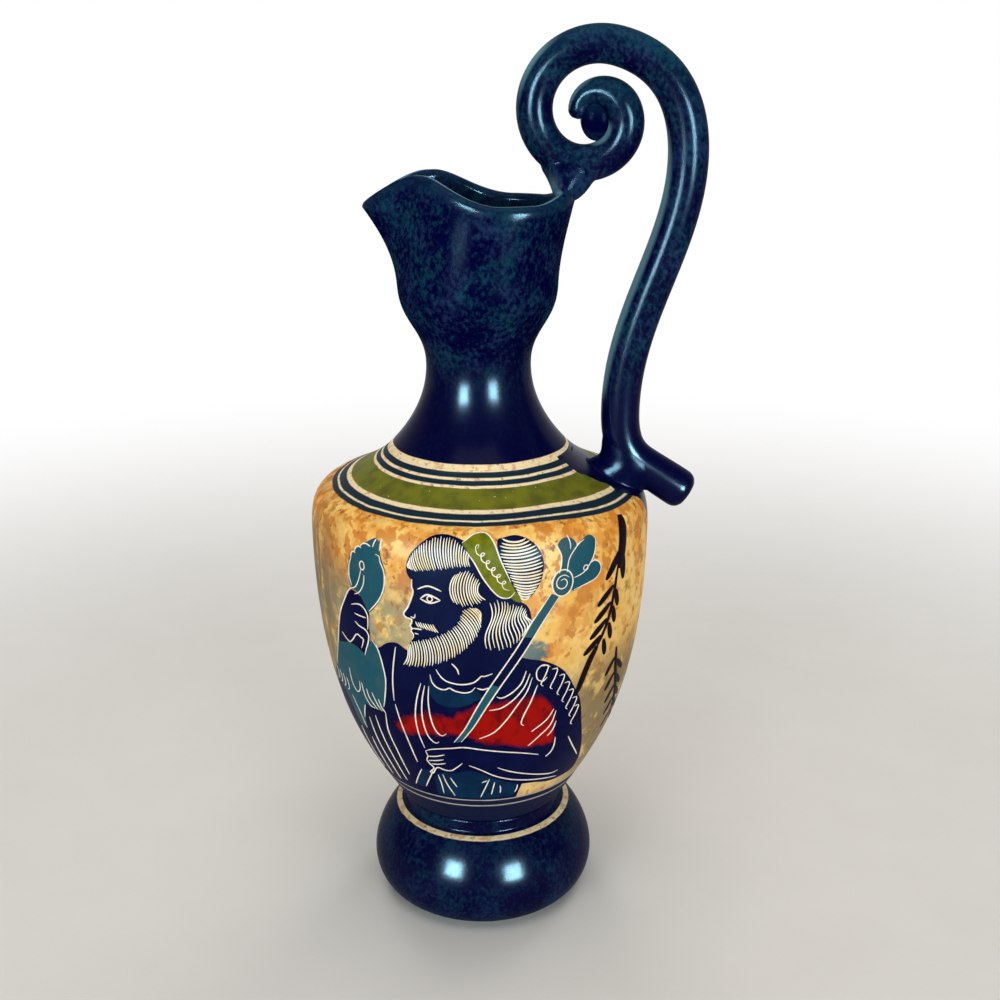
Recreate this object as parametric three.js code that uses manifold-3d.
// A small clay pitcher: a turned foot, a round hollow belly, a thrown neck whose mouth is pulled into a
// pouring beak, and a rolled scroll handle, luted together with slip.
// Millimetres, +Z up. The origin is the middle of the flat base. The handle stands along +X, the beak
// points along -X and the painted front faces -Y.

import * as THREE from "three";
import { mergeVertices } from "three/addons/utils/BufferGeometryUtils.js";
import Module from "manifold-3d";

// Driving dimensions of the foot
const BASE_RADIUS = 15.7; // flat disc that the pitcher stands on
const FOOT_RADIUS = 21.8; // widest line of the fat roll
const FOOT_WIDEST_HEIGHT = 7.3;
const SHELF_RADIUS = 17.2; // edge where the roll turns in to the shelf
const SHELF_HEIGHT = 18;
const SHELF_CROWN = 0.6; // rise of the shelf from its edge to the stem
const STEM_RADIUS = 15.5;
const STEM_LENGTH = 3; // from the shelf's edge to the stem's top
const SOCKET_RADIUS = 8; // shallow socket in the stem that centres the belly
const SOCKET_DEPTH = 1.6;

// Driving dimensions of the belly
const BELLY_BASE_RADIUS = 16.2;
const BELLY_RADIUS = 31.5;
const BELLY_RISE = 55.4; // from the belly's base to its widest line
const SHOULDER_ROUNDING = 2.9; // how far the shoulder's edge lies inside the widest line
const SHOULDER_ROUND_RISE = 7.7;
const SHOULDER_TOP_RADIUS = 17.2; // where the neck is luted on
const SHOULDER_SLOPE_RISE = 6.4;
const BELLY_WALL = 3.4;
const BELLY_FLOOR = 4.2;
const NECK_SEAT_WIDTH = 4.3; // flat ring on the shoulder round the hole for the neck
const COLLAR_DEPTH = 2.8; // thickness of the shoulder at that hole

// Driving dimensions of the neck and mouth
const WAIST_RADIUS = 9.5;
const FLARE_RISE = 15.3; // from the neck's foot to its waist
const CUP_RADIUS = 14.3;
const CUP_RISE = 14.3; // from the waist to the cup's base
const CUP_WALL_RISE = 14.7; // from the cup's base to the lowest point of the rim
const RIM_RADIUS = 15; // as thrown, before the mouth is pulled
const RIM_SIDE_RADIUS = 11.6;
const RIM_BACK_RADIUS = 17.4;
const BEAK_REACH = 20.3;
const BEAK_CREST_RISE = 4.6; // the rim's two crests beside the beak, above its lowest point
const BEAK_TIP_DROP = 0.1;
const BACK_TAB_RISE = 2.65; // raised tab at the back that meets the scroll
const LIP_THICKNESS = 2.6;
const NECK_WALL = 2.8;
const SPIGOT_LENGTH = 2.8; // ring under the neck that sits in the shoulder's hole
const SPIGOT_WALL = 2.4;

// Driving dimensions of the handle
const HANDLE_DIAMETER = 7.3;
const TAIL_LENGTH = 7.4; // blunt tail that runs out past the shoulder
const TAIL_DIAMETER = 7.6;
const TAIL_ANGLE = 33; // degrees below level
const GRIP_SETBACK = 4.2; // the grip's inmost line, inside the seat on the shoulder
const GRIP_RISE = 13.5; // height of that line above the shoulder's edge
const HIP_OUT = 3.05; // the grip's outmost line, outside the scroll's outer turn
const HIP_DROP = 6.6; // depth of that line below the scroll's centre
const SCROLL_OFFSET = 3.6; // the scroll's centre, behind the middle of the lip
const SCROLL_DIAMETER = 6.6; // the rod in the scroll
const SCROLL_GAP = 1.2; // air between two turns
const SCROLL_TIP_DIAMETER = 3.9; // the rod at the scroll's inmost end
const SCROLL_EYE = 0.45; // clear radius that the inmost turn would leave
const SCROLL_START = 68; // degrees, counted from +X towards +Z
const SCROLL_END = 515;
const EYE_LENGTH = 5.9; // clay that fills the scroll's eye
const EYE_WIDTH = 3.8;
const EYE_HEIGHT = 7.7;
const EYE_OFFSET = 0.9; // the eye's middle, behind the scroll's centre
const EYE_DROP = 0.45; // and below it

// Driving dimensions of the slip and clay that join the pieces
const LUTING = 0.6; // thickness of a slip layer
const WAD_RISE = 0.4; // clay between the back tab and the scroll
const ROOT_LENGTH = 12;
const ROOT_WIDTH = 11;
const ROOT_HEIGHT = 9;
const ROOT_SHARE = 0.38; // the root wad's middle, as a share of the way up the shoulder's slope
const ROOT_LIFT = 1.7; // and its lift off the clay
const WAD_LENGTH = 7.4;
const WAD_WIDTH = 9;
const WAD_HEIGHT = 5.6;
const WAD_SETBACK = 0.6; // the rim wad's middle, in front of the middle of the lip
const FIT_GAP = 0.3;

// Shape of the pulled mouth
const BACK_ROUNDNESS = 2.5;
const BEAK_SHARPNESS = 30;
const PULL_CURVE = 2.2;
const PULL_START_SHARE = 0.2; // the pull starts below the cup's base, at this share of the cup's rise
const TAB_SPREAD = 42; // degrees from the back to the end of the tab
const CREST_START = 65; // degrees where the rim begins to rise to the crests
const CREST_ANGLE = 140;
const TIP_START = 152;

// Shape of the curves: how far the two handles of a stretch reach, across and up, as shares of the stretch
const FOOT_LOWER_CURVE = [[0.58, 0], [0, 0.56]];
const FOOT_UPPER_CURVE = [[0, 0.39], [0.43, 0.19]];
const BELLY_CURVE = [[0.52, 0.227], [0, 0.568]];
const SHOULDER_ROUND_CURVE = [[0, 0.545], [0.83, 0.156]];
const SHOULDER_SLOPE_CURVE = [[0.333, 0.25], [0.263, 0.438]];
const HOLLOW_CURVE = [[0, 0.52], [0.44, 0]];
const FLARE_CURVE = [[0.57, 0.27], [0, 0.39]];
const CUP_CURVE = [[0, 0.45], [0, 0.45]];
const CUP_WALL_CURVE = [[0, 0.4], [0, 0.3]];
const BORE_CURVE = [[0, 0.4], [0, 0.4]];

// Shape of the handle's bends: the reach of the two handles along the rod, as shares of the bend's span
const GRIP_BEND = [0.32, 0.5];
const SWING_BEND = [0.4, 0.34];
const CROWN_BEND = [0.42, 0.4];

// Shape of the rod's ends and tapers
const TAIL_CAP = 2.9; // length of the tail's round end
const TIP_CAP = 1.6; // length of the round end in the scroll
const SLIM_LENGTH = 40; // from the hip to where the rod has its thickness in the scroll
const TIP_LENGTH = 10; // taper to the scroll's inmost end
const RING_CROWDING = 0.5; // how much closer the rings lie at the scroll's inmost end

// Facets
const AROUND = 40;
const CURVE_STEPS = 5;
const HANDLE_SIDES = 14;
const HANDLE_STEPS = 96;
const WAD_SIDES = 20;
const WAD_RINGS = 12;
const WELD = 1e-4;

// Heights and radii that follow from the driving dimensions
const FOOT_TOP = SHELF_HEIGHT + STEM_LENGTH;
const BELLY_BOTTOM = FOOT_TOP + LUTING;
const BELLY_WIDEST = BELLY_BOTTOM + BELLY_RISE;
const SHOULDER_EDGE = BELLY_WIDEST + SHOULDER_ROUND_RISE;
const SHOULDER_EDGE_RADIUS = BELLY_RADIUS - SHOULDER_ROUNDING;
const SHOULDER_TOP = SHOULDER_EDGE + SHOULDER_SLOPE_RISE;
const HOLE_RADIUS = SHOULDER_TOP_RADIUS - NECK_SEAT_WIDTH;
const NECK_BOTTOM = SHOULDER_TOP + LUTING;
const NECK_FOOT_RADIUS = SHOULDER_TOP_RADIUS - LUTING;
const WAIST = NECK_BOTTOM + FLARE_RISE;
const CUP_BASE = WAIST + CUP_RISE;
const RIM = CUP_BASE + CUP_WALL_RISE;
const LIP_HEIGHT = RIM - LIP_THICKNESS / 2; // the middle of the round lip
const PULL_START = CUP_BASE - PULL_START_SHARE * CUP_RISE;
const BACK_TAB = RIM + BACK_TAB_RISE;
const ROD = HANDLE_DIAMETER / 2;
const TAIL_ROD = TAIL_DIAMETER / 2;
const SCROLL_ROD = SCROLL_DIAMETER / 2;
const TIP_ROD = SCROLL_TIP_DIAMETER / 2;

const wasm = await Module();
wasm.setup();

// Merges shared vertices and drops the triangles that shrink to a line on the axis.
function weld(geometry) {
  geometry.deleteAttribute("normal");
  geometry.deleteAttribute("uv");
  const merged = mergeVertices(geometry, WELD);
  const corners = merged.index.array;
  const kept = [];
  for (let i = 0; i < corners.length; i += 3) {
    const [a, b, c] = corners.slice(i, i + 3);
    if (a !== b && b !== c && c !== a) {
      kept.push(a, b, c);
    }
  }
  merged.setIndex(kept);
  return merged;
}

// Turns a closed geometry into a solid that can be cut and joined.
function solidOf(geometry) {
  const welded = weld(geometry);
  const mesh = new wasm.Mesh({
    numProp: 3,
    vertProperties: new Float32Array(welded.attributes.position.array),
    triVerts: new Uint32Array(welded.index.array),
  });
  return new wasm.Manifold(mesh);
}

// Turns a solid back into a geometry.
function geometryOf(solid) {
  const mesh = solid.getMesh();
  const geometry = new THREE.BufferGeometry();
  geometry.setAttribute("position", new THREE.BufferAttribute(mesh.vertProperties, 3));
  geometry.setIndex(new THREE.BufferAttribute(mesh.triVerts, 1));
  return geometry;
}

// Adds a smooth stretch to an outline.
function smoothTo(outline, radius, height, [leave, arrive]) {
  const from = outline.currentPoint;
  const across = radius - from.x;
  const up = height - from.y;
  outline.bezierCurveTo(
    from.x + leave[0] * across,
    from.y + leave[1] * up,
    radius - arrive[0] * across,
    height - arrive[1] * up,
    radius,
    height,
  );
}

// Turns an outline, radius across and height up, about the Z axis.
function revolve(outline, sides) {
  const geometry = new THREE.LatheGeometry(outline.getPoints(CURVE_STEPS), sides);
  geometry.rotateX(Math.PI / 2);
  return geometry;
}

// The foot: a fat roll on a flat base, a shelf and a short stem with a centring socket in its top.
function footGeometry() {
  const outline = new THREE.Path();
  outline.moveTo(0, 0);
  outline.lineTo(BASE_RADIUS, 0);
  smoothTo(outline, FOOT_RADIUS, FOOT_WIDEST_HEIGHT, FOOT_LOWER_CURVE);
  smoothTo(outline, SHELF_RADIUS, SHELF_HEIGHT, FOOT_UPPER_CURVE);
  outline.lineTo(STEM_RADIUS, SHELF_HEIGHT + SHELF_CROWN);
  outline.lineTo(STEM_RADIUS, FOOT_TOP);
  outline.lineTo(SOCKET_RADIUS, FOOT_TOP);
  outline.lineTo(SOCKET_RADIUS, FOOT_TOP - SOCKET_DEPTH);
  outline.lineTo(0, FOOT_TOP - SOCKET_DEPTH);
  return revolve(outline, AROUND);
}

// A flat ring of slip between two pieces.
function lutingGeometry(hole, lowerRadius, upperRadius, bottom) {
  const outline = new THREE.Path();
  outline.moveTo(hole, bottom);
  outline.lineTo(lowerRadius, bottom);
  outline.lineTo(upperRadius, bottom + LUTING);
  outline.lineTo(hole, bottom + LUTING);
  outline.lineTo(hole, bottom);
  return revolve(outline, AROUND);
}

// The belly: a boss for the foot's socket, the round wall, the shoulder and the hollow inside.
// grow swells its outside, which gives the space that a piece on it has to leave free.
function bellyGeometry(grow) {
  const bossRadius = SOCKET_RADIUS - FIT_GAP;
  const bossBottom = FOOT_TOP - SOCKET_DEPTH + FIT_GAP;
  const innerFloor = BELLY_BOTTOM + BELLY_FLOOR;
  const outline = new THREE.Path();
  outline.moveTo(0, bossBottom);
  outline.lineTo(bossRadius, bossBottom);
  outline.lineTo(bossRadius, BELLY_BOTTOM);
  outline.lineTo(BELLY_BASE_RADIUS + grow, BELLY_BOTTOM);
  smoothTo(outline, BELLY_RADIUS + grow, BELLY_WIDEST, BELLY_CURVE);
  smoothTo(outline, SHOULDER_EDGE_RADIUS + grow / 2, SHOULDER_EDGE + grow, SHOULDER_ROUND_CURVE);
  smoothTo(outline, SHOULDER_TOP_RADIUS + grow / 2, SHOULDER_TOP + grow, SHOULDER_SLOPE_CURVE);
  outline.lineTo(HOLE_RADIUS, SHOULDER_TOP + grow);
  outline.lineTo(HOLE_RADIUS, SHOULDER_TOP - COLLAR_DEPTH);
  outline.lineTo(SHOULDER_EDGE_RADIUS - BELLY_WALL / 2, SHOULDER_EDGE - BELLY_WALL);
  smoothTo(outline, BELLY_RADIUS - BELLY_WALL, BELLY_WIDEST, SHOULDER_ROUND_CURVE.toReversed());
  smoothTo(outline, BELLY_BASE_RADIUS - BELLY_WALL - BELLY_FLOOR, innerFloor, HOLLOW_CURVE);
  outline.lineTo(0, innerFloor);
  return revolve(outline, AROUND);
}

// Reach of the pulled rim at an angle counted from the back.
function rimRadius(angle) {
  const back = (1 + Math.cos(angle)) / 2;
  const beak = (1 - Math.cos(angle)) / 2;
  const backPull = (RIM_BACK_RADIUS - RIM_SIDE_RADIUS) * back ** BACK_ROUNDNESS;
  const beakPull = (BEAK_REACH - RIM_SIDE_RADIUS) * beak ** BEAK_SHARPNESS;
  return RIM_SIDE_RADIUS + backPull + beakPull;
}

// Height of the pulled rim at an angle counted from the back.
function rimHeight(angle) {
  const degrees = THREE.MathUtils.radToDeg(angle);
  const tab = BACK_TAB_RISE * (1 - THREE.MathUtils.smoothstep(degrees, 0, TAB_SPREAD));
  const crest = BEAK_CREST_RISE * THREE.MathUtils.smoothstep(degrees, CREST_START, CREST_ANGLE);
  const tip = (BEAK_CREST_RISE + BEAK_TIP_DROP) * THREE.MathUtils.smoothstep(degrees, TIP_START, 180);
  return RIM + tab + crest - tip;
}

// Pulls the thrown mouth into its beak and tab. The pull grows from nothing under the cup to full at the lip.
function pullMouth(geometry) {
  const position = geometry.attributes.position;
  const point = new THREE.Vector3();
  for (let i = 0; i < position.count; i += 1) {
    point.fromBufferAttribute(position, i);
    const share = THREE.MathUtils.clamp((point.z - PULL_START) / (LIP_HEIGHT - PULL_START), 0, 1);
    const pull = share ** PULL_CURVE;
    const angle = Math.atan2(Math.abs(point.y), point.x);
    const thrown = Math.hypot(point.x, point.y);
    const stretch = (thrown + pull * (rimRadius(angle) - RIM_RADIUS)) / thrown;
    const lift = pull * (rimHeight(angle) - RIM);
    position.setXYZ(i, point.x * stretch, point.y * stretch, point.z + lift);
  }
}

// The neck and mouth: a spigot for the shoulder's hole, the flared neck, the cup and its round lip.
// grow swells it all round, which gives the space that a piece on it has to leave free.
function neckGeometry(grow) {
  const spigotRadius = HOLE_RADIUS - FIT_GAP;
  const spigotBottom = NECK_BOTTOM - SPIGOT_LENGTH;
  const lipRadius = LIP_THICKNESS / 2 + grow;
  const lipMiddle = RIM_RADIUS - LIP_THICKNESS / 2;
  const outline = new THREE.Path();
  outline.moveTo(spigotRadius, NECK_BOTTOM);
  outline.lineTo(NECK_FOOT_RADIUS, NECK_BOTTOM);
  smoothTo(outline, WAIST_RADIUS + grow, WAIST, FLARE_CURVE);
  smoothTo(outline, CUP_RADIUS + grow, CUP_BASE, CUP_CURVE);
  smoothTo(outline, lipMiddle + lipRadius, LIP_HEIGHT, CUP_WALL_CURVE);
  outline.absarc(lipMiddle, LIP_HEIGHT, lipRadius, 0, Math.PI);
  smoothTo(outline, CUP_RADIUS - NECK_WALL - grow, CUP_BASE, CUP_WALL_CURVE.toReversed());
  smoothTo(outline, WAIST_RADIUS - NECK_WALL - grow, WAIST, CUP_CURVE);
  smoothTo(outline, spigotRadius - SPIGOT_WALL, spigotBottom, BORE_CURVE);
  outline.lineTo(spigotRadius, spigotBottom);
  outline.lineTo(spigotRadius, NECK_BOTTOM);
  const geometry = revolve(outline, AROUND);
  pullMouth(geometry);
  return geometry;
}

// The scroll: a flat spiral whose turns close in by the rod's thickness and a gap.
class Scroll extends THREE.Curve {
  constructor() {
    super();
    this.start = THREE.MathUtils.degToRad(SCROLL_START);
    this.end = THREE.MathUtils.degToRad(SCROLL_END);
    this.closing = (SCROLL_DIAMETER + SCROLL_GAP) / (2 * Math.PI);
    this.lowest = BACK_TAB + WAD_RISE;
    const lowestTurn = this.reach(1.5 * Math.PI);
    const lipMiddle = RIM_BACK_RADIUS - LIP_THICKNESS / 2;
    this.centre = new THREE.Vector3(lipMiddle + SCROLL_OFFSET, 0, this.lowest + SCROLL_ROD + lowestTurn);
  }

  // Distance from the scroll's centre to the rod's middle at an angle.
  reach(angle) {
    return TIP_ROD + SCROLL_EYE + this.closing * (this.end - angle);
  }

  getPoint(t, target = new THREE.Vector3()) {
    const angle = this.start + t * (this.end - this.start);
    const reach = this.reach(angle);
    return target.set(
      this.centre.x + reach * Math.cos(angle),
      0,
      this.centre.z + reach * Math.sin(angle),
    );
  }
}

// A place over the shoulder's slope: a share of the way from the edge up to the neck, and a lift off the clay.
// inward is the slope's direction there.
function overShoulder(share, lift) {
  const outline = new THREE.Path();
  outline.moveTo(SHOULDER_EDGE_RADIUS, SHOULDER_EDGE);
  smoothTo(outline, SHOULDER_TOP_RADIUS, SHOULDER_TOP, SHOULDER_SLOPE_CURVE);
  const clay = outline.getPointAt(share);
  const inward = outline.getTangentAt(share);
  return { place: new THREE.Vector3(clay.x + inward.y * lift, 0, clay.y - inward.x * lift), inward };
}

// Point where the rod's middle passes over the shoulder's edge, one gap clear of the clay.
function handleSeat() {
  return overShoulder(0, ROD + FIT_GAP).place;
}

// The line of the rod's middle: tail, seat, grip, hip and scroll.
function handlePath() {
  const scroll = new Scroll();
  const seat = handleSeat();
  const drop = THREE.MathUtils.degToRad(TAIL_ANGLE);
  const inward = new THREE.Vector3(-Math.cos(drop), 0, Math.sin(drop));
  const tail = seat.clone().addScaledVector(inward, -TAIL_LENGTH);
  const grip = new THREE.Vector3(seat.x - GRIP_SETBACK, 0, SHOULDER_EDGE + GRIP_RISE);
  const hip = new THREE.Vector3(scroll.centre.x + scroll.reach(0) + HIP_OUT, 0, scroll.centre.z - HIP_DROP);
  const top = scroll.getPoint(0);
  const heading = scroll.getTangent(0);
  const up = new THREE.Vector3(0, 0, 1);
  const turn = grip.distanceTo(seat);
  const swing = hip.z - grip.z;
  const crown = top.distanceTo(hip);
  const path = new THREE.CurvePath();
  path.add(new THREE.LineCurve3(tail, seat));
  path.add(new THREE.CubicBezierCurve3(
    seat,
    seat.clone().addScaledVector(inward, GRIP_BEND[0] * turn),
    grip.clone().addScaledVector(up, -GRIP_BEND[1] * turn),
    grip,
  ));
  path.add(new THREE.CubicBezierCurve3(
    grip,
    grip.clone().addScaledVector(up, SWING_BEND[0] * swing),
    hip.clone().addScaledVector(up, -SWING_BEND[1] * swing),
    hip,
  ));
  path.add(new THREE.CubicBezierCurve3(
    hip,
    hip.clone().addScaledVector(up, CROWN_BEND[0] * crown),
    top.clone().addScaledVector(heading, -CROWN_BEND[1] * crown),
    top,
  ));
  path.add(scroll);
  return path;
}

// The rod as rolled, straight along Z from its tail: full at the tail, slim in the scroll and at its tip.
function straightRod(path, grow) {
  const { smoothstep } = THREE.MathUtils;
  const [, , hip] = path.getCurveLengths();
  const length = path.getLength();
  const radius = (along) => ROD + grow
    + (TAIL_ROD - ROD) * (1 - smoothstep(along, 0, TAIL_LENGTH))
    - (ROD - SCROLL_ROD) * smoothstep(along, hip, hip + SLIM_LENGTH)
    - (SCROLL_ROD - TIP_ROD) * smoothstep(along, length - TIP_LENGTH, length);
  const outline = new THREE.Path();
  outline.absellipse(0, 0, radius(0), TAIL_CAP + grow, -Math.PI / 2, 0);
  for (let i = 1; i < HANDLE_STEPS; i += 1) {
    const step = i / HANDLE_STEPS;
    const along = length * (step + RING_CROWDING * step * (1 - step));
    outline.lineTo(radius(along), along);
  }
  outline.absellipse(0, length, radius(length), TIP_CAP + grow, 0, Math.PI / 2);
  return revolve(outline, HANDLE_SIDES);
}

// Bends a straight rod along a line in the plane of X and Z.
function bendAlong(geometry, path) {
  const position = geometry.attributes.position;
  const length = path.getLength();
  const sideways = new THREE.Vector3(0, 1, 0);
  for (let i = 0; i < position.count; i += 1) {
    const along = position.getZ(i);
    const share = THREE.MathUtils.clamp(along / length, 0, 1);
    const heading = path.getTangent(share);
    const point = path.getPoint(share);
    point.addScaledVector(heading, along - share * length);
    point.addScaledVector(sideways.clone().cross(heading), position.getX(i));
    point.addScaledVector(sideways, position.getY(i));
    position.setXYZ(i, point.x, point.y, point.z);
  }
}

// A round wad of clay.
function wadSolid(length, width, height, centre, tilt) {
  const wad = new THREE.SphereGeometry(0.5, WAD_SIDES, WAD_RINGS);
  wad.rotateX(Math.PI / 2);
  wad.scale(length, width, height);
  wad.rotateY(tilt);
  wad.translate(centre.x, centre.y, centre.z);
  return solidOf(wad);
}

// The handle: a round rod bent along its path, with the eye of its scroll filled.
// grow swells it all round, which gives the space that a piece on it has to leave free.
function handleSolid(grow) {
  const path = handlePath();
  const rod = straightRod(path, grow);
  bendAlong(rod, path);
  const middle = new Scroll().centre;
  const eyeMiddle = new THREE.Vector3(middle.x + EYE_OFFSET, 0, middle.z - EYE_DROP);
  const eye = wadSolid(EYE_LENGTH + 2 * grow, EYE_WIDTH + 2 * grow, EYE_HEIGHT + 2 * grow, eyeMiddle, 0);
  return solidOf(rod).add(eye);
}

// The clay smeared round the rod where it sits on the shoulder.
function handleRootSolid() {
  const { place, inward } = overShoulder(ROOT_SHARE, ROOT_LIFT);
  const tilt = Math.atan2(inward.y, -inward.x);
  const wad = wadSolid(ROOT_LENGTH, ROOT_WIDTH, ROOT_HEIGHT, place, tilt);
  return wad.subtract(solidOf(bellyGeometry(FIT_GAP))).subtract(handleSolid(FIT_GAP));
}

// The clay that joins the scroll's underside to the tab at the back of the rim.
function rimWadSolid() {
  const lipMiddle = RIM_BACK_RADIUS - LIP_THICKNESS / 2;
  const centre = new THREE.Vector3(lipMiddle - WAD_SETBACK, 0, BACK_TAB + WAD_RISE / 2);
  const wad = wadSolid(WAD_LENGTH, WAD_WIDTH, WAD_HEIGHT, centre, 0);
  return wad.subtract(solidOf(neckGeometry(FIT_GAP))).subtract(handleSolid(FIT_GAP));
}

const darkGlaze = { color: 0x0a1a24, roughness: 0.25, metalness: 0 };
const paintedClay = { color: 0xd9a648, roughness: 0.45, metalness: 0 };
const slip = { color: 0xe2cf9c, roughness: 0.7, metalness: 0 };

const group = new THREE.Group();

// Adds one named piece of the pitcher.
function addPiece(name, geometry, finish) {
  const piece = new THREE.Mesh(geometry, new THREE.MeshStandardMaterial(finish));
  piece.geometry.computeVertexNormals();
  piece.name = name;
  group.add(piece);
}

addPiece("foot", weld(footGeometry()), darkGlaze);
addPiece("foot_luting", weld(lutingGeometry(SOCKET_RADIUS, STEM_RADIUS, STEM_RADIUS, FOOT_TOP)), slip);
addPiece("belly", weld(bellyGeometry(0)), paintedClay);
addPiece(
  "neck_luting",
  weld(lutingGeometry(HOLE_RADIUS, SHOULDER_TOP_RADIUS, NECK_FOOT_RADIUS, SHOULDER_TOP)),
  slip,
);
addPiece("neck_and_mouth", weld(neckGeometry(0)), darkGlaze);
addPiece("handle", geometryOf(handleSolid(0)), darkGlaze);
addPiece("handle_root", geometryOf(handleRootSolid()), darkGlaze);
addPiece("rim_wad", geometryOf(rimWadSolid()), darkGlaze);

export default group;
